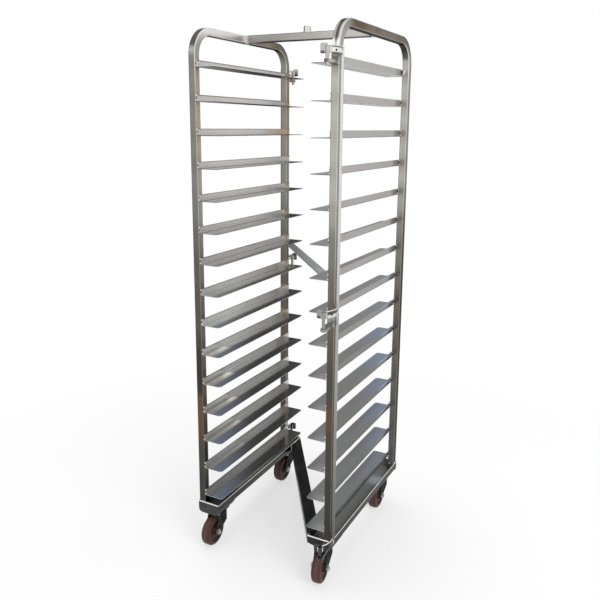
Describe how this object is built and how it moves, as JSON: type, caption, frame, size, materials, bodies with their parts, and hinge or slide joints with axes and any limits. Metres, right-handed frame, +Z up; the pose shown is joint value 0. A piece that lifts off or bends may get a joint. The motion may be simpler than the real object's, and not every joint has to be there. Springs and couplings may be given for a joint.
{
  "type": "sheet pan rack",
  "caption": "Tall stainless bakery rack on swivel casters: bent-tube side frames with angle runners for sheet pans, diagonal base, top bar with a lift pin, and swing gates.",
  "frame": {"origin": "on the floor, under the middle of the rack", "axes": "+X to the right of someone facing the front opening, +Y from the front opening to the rear (pans slide along Y), +Z up"},
  "size_m": [0.539, 0.736, 1.771],
  "materials": {
    "stainless": "satin, with heat tint",
    "caster_steel": "dull plated",
    "bright_steel": "bright plated",
    "phenolic": "moulded, scuffed"
  },
  "bodies": {
    "frame": {"left_side_frame": "stainless", "right_side_frame": "stainless", "top_cross_bar": "stainless", "lift_pin": "stainless", "mid_brace": "stainless", "left_runner_01": "stainless", "left_runner_02": "stainless", "left_runner_03": "stainless", "left_runner_04": "stainless", "left_runner_05": "stainless", "left_runner_06": "stainless", "left_runner_07": "stainless", "left_runner_08": "stainless", "left_runner_09": "stainless", "left_runner_10": "stainless", "left_runner_11": "stainless", "left_runner_12": "stainless", "left_runner_13": "stainless", "left_runner_14": "stainless", "left_runner_15": "stainless", "right_runner_01": "stainless", "right_runner_02": "stainless", "right_runner_03": "stainless", "right_runner_04": "stainless", "right_runner_05": "stainless", "right_runner_06": "stainless", "right_runner_07": "stainless", "right_runner_08": "stainless", "right_runner_09": "stainless", "right_runner_10": "stainless", "right_runner_11": "stainless", "right_runner_12": "stainless", "right_runner_13": "stainless", "right_runner_14": "stainless", "right_runner_15": "stainless", "left_base_tray": "stainless", "right_base_tray": "stainless", "base_diagonal": "stainless", "caster_pads": "stainless", "caster_plates": "caster_steel", "caster_bolts": "bright_steel", "caster_nuts": "bright_steel", "king_pins": "caster_steel", "gate_brackets": "stainless"},
    "front_gate": {"front_gate_rod": "stainless", "front_gate_arms": "stainless"},
    "rear_gate": {"rear_gate_rod": "stainless", "rear_gate_arms": "stainless"},
    "front_left_caster": {"front_left_fork": "caster_steel", "front_left_axle": "bright_steel"},
    "front_left_roller": {"front_left_wheel": "phenolic"},
    "front_right_caster": {"front_right_fork": "caster_steel", "front_right_axle": "bright_steel"},
    "front_right_roller": {"front_right_wheel": "phenolic"},
    "rear_left_caster": {"rear_left_fork": "caster_steel", "rear_left_axle": "bright_steel"},
    "rear_left_roller": {"rear_left_wheel": "phenolic"},
    "rear_right_caster": {"rear_right_fork": "caster_steel", "rear_right_axle": "bright_steel"},
    "rear_right_roller": {"rear_right_wheel": "phenolic"}
  },
  "joints": [
    {"name": "front_gate_swing", "type": "hinge", "parent": "frame", "child": "front_gate", "pos_m": [0.25, -0.359, 0.913], "axis": [0, 0, -1], "range_deg": [0, 255]},
    {"name": "rear_gate_swing", "type": "hinge", "parent": "frame", "child": "rear_gate", "pos_m": [-0.25, 0.359, 0.913], "axis": [0, 0, -1], "range_deg": [0, 255]},
    {"name": "front_left_swivel", "type": "hinge", "parent": "frame", "child": "front_left_caster", "pos_m": [-0.211, -0.248, 0.106], "axis": [0, 0, 1], "continuous": true},
    {"name": "front_left_roll", "type": "hinge", "parent": "front_left_caster", "child": "front_left_roller", "pos_m": [-0.211, -0.285, 0.05], "axis": [1, 0, 0], "continuous": true},
    {"name": "front_right_swivel", "type": "hinge", "parent": "frame", "child": "front_right_caster", "pos_m": [0.211, -0.248, 0.106], "axis": [0, 0, 1], "continuous": true},
    {"name": "front_right_roll", "type": "hinge", "parent": "front_right_caster", "child": "front_right_roller", "pos_m": [0.21519, -0.28476, 0.05], "axis": [0.9936, 0.1132, 0], "continuous": true},
    {"name": "rear_left_swivel", "type": "hinge", "parent": "frame", "child": "rear_left_caster", "pos_m": [-0.211, 0.248, 0.106], "axis": [0, 0, 1], "continuous": true},
    {"name": "rear_left_roll", "type": "hinge", "parent": "rear_left_caster", "child": "rear_left_roller", "pos_m": [-0.211, 0.211, 0.05], "axis": [1, 0, 0], "continuous": true},
    {"name": "rear_right_swivel", "type": "hinge", "parent": "frame", "child": "rear_right_caster", "pos_m": [0.211, 0.248, 0.106], "axis": [0, 0, 1], "continuous": true},
    {"name": "rear_right_roll", "type": "hinge", "parent": "rear_right_caster", "child": "rear_right_roller", "pos_m": [0.211, 0.211, 0.05], "axis": [1, 0, 0], "continuous": true}
  ]
}
